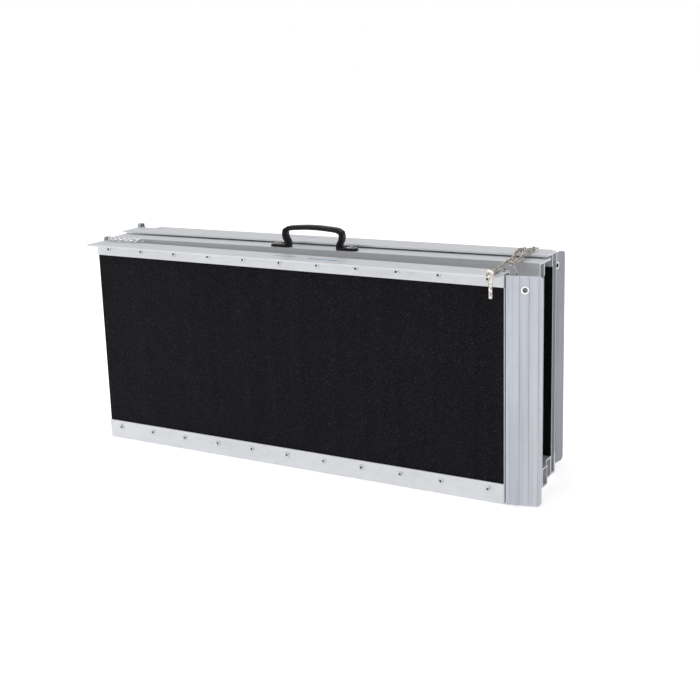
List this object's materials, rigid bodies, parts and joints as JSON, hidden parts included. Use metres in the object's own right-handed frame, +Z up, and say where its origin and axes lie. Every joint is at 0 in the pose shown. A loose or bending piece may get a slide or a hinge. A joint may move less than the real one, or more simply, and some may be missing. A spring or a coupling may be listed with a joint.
{
  "type": "portable wheelchair ramp",
  "caption": "Folding wheelchair ramp: two hinged lanes of grit-faced aluminium panels with curbs, hinged transition plates, carry handle and chained lock pins.",
  "frame": {"origin": "on the bottom face of the inner rail of the front middle panel, half way along the panel", "axes": "+X along the panels from the fold pivots to the noses, +Y from the front panel to the rear panel, +Z up from the resting edge to the carry handle"},
  "size_m": [0.9072, 0.2875, 0.4314],
  "materials": {
    "rail_aluminium": "brushed, mill finish",
    "deck_aluminium": "mill finish",
    "plate_aluminium": "ribbed extrusion",
    "hinge_aluminium": "mill finish",
    "steel_rod": "drawn",
    "grit": "mineral grit on a black sheet",
    "rivet": "domed, with a dark mandrel",
    "zinc_fastener": "bright zinc",
    "nickel_chain": "nickel plated",
    "handle_plastic": "satin black"
  },
  "bodies": {
    "front_middle_panel": {"carry_handle": "handle_plastic", "fold_bolts_front": "zinc_fastener", "fold_nuts_front": "zinc_fastener", "fold_washers_front": "zinc_fastener", "front_middle_deck": "deck_aluminium", "front_middle_fold_channel": "deck_aluminium", "front_middle_grit_sheet": "grit", "front_middle_inner_rail": "rail_aluminium", "front_middle_nose_channel": "deck_aluminium", "front_middle_outer_rail": "rail_aluminium", "front_middle_pivot_ears": "rail_aluminium", "front_middle_rivets": "rivet", "handle_screws": "zinc_fastener", "hinge_leaf_front": "hinge_aluminium", "hinge_rod": "steel_rod"},
    "rear_end_panel": {"fold_bolts_rear": "zinc_fastener", "fold_nuts_rear": "zinc_fastener", "fold_washers_rear": "zinc_fastener", "plate_hinge_leaf_rear": "hinge_aluminium", "plate_rod_rear": "steel_rod", "rear_end_deck": "deck_aluminium", "rear_end_fold_channel": "deck_aluminium", "rear_end_grit_sheet": "grit", "rear_end_inner_rail": "rail_aluminium", "rear_end_nose_channel": "deck_aluminium", "rear_end_outer_rail": "rail_aluminium", "rear_end_pivot_ears": "rail_aluminium", "rear_end_rivets": "rivet"},
    "front_end_panel": {"fold_chain": "nickel_chain", "fold_lock_pin": "nickel_chain", "front_end_deck": "deck_aluminium", "front_end_fold_channel": "deck_aluminium", "front_end_grit_sheet": "grit", "front_end_inner_rail": "rail_aluminium", "front_end_lower_ear": "rail_aluminium", "front_end_nose_channel": "deck_aluminium", "front_end_outer_rail": "rail_aluminium", "front_end_rivets": "rivet", "nose_chain": "nickel_chain", "nose_lock_pin": "nickel_chain", "nose_pin_chain": "nickel_chain", "plate_hinge_leaf_front": "hinge_aluminium", "plate_rod_front": "steel_rod", "split_ring": "nickel_chain"},
    "rear_middle_panel": {"hinge_leaf_rear": "hinge_aluminium", "rear_middle_deck": "deck_aluminium", "rear_middle_fold_channel": "deck_aluminium", "rear_middle_grit_sheet": "grit", "rear_middle_inner_rail": "rail_aluminium", "rear_middle_lower_ear": "rail_aluminium", "rear_middle_nose_channel": "deck_aluminium", "rear_middle_outer_rail": "rail_aluminium", "rear_middle_rivets": "rivet"},
    "plate_front": {"plate_eyelet_front": "zinc_fastener", "transition_plate_front": "plate_aluminium"},
    "plate_rear": {"plate_eyelet_rear": "zinc_fastener", "transition_plate_rear": "plate_aluminium"}
  },
  "joints": [
    {"name": "fold_front", "type": "hinge", "parent": "front_middle_panel", "child": "front_end_panel", "pos_m": [-0.4335, -0.02, 0], "axis": [0, 0, -1], "range_deg": [0, 177.5]},
    {"name": "centre_hinge", "type": "hinge", "parent": "front_middle_panel", "child": "rear_middle_panel", "pos_m": [0, 0.03525, -0.0002], "axis": [-1, 0, 0], "range_deg": [0, 180]},
    {"name": "fold_rear", "type": "hinge", "parent": "rear_middle_panel", "child": "rear_end_panel", "pos_m": [-0.4375, 0.0905, 0], "axis": [0, 0, 1], "range_deg": [-0.3, 180.7]},
    {"name": "plate_hinge_front", "type": "hinge", "parent": "front_end_panel", "child": "plate_front", "pos_m": [0.40658, -0.08471, 0], "axis": [0, 0, -1], "range_deg": [-10, 105]},
    {"name": "plate_hinge_rear", "type": "hinge", "parent": "rear_end_panel", "child": "plate_rear", "pos_m": [0.40488, 0.10821, 0], "axis": [0, 0, 1], "range_deg": [-105, 10]}
  ]
}
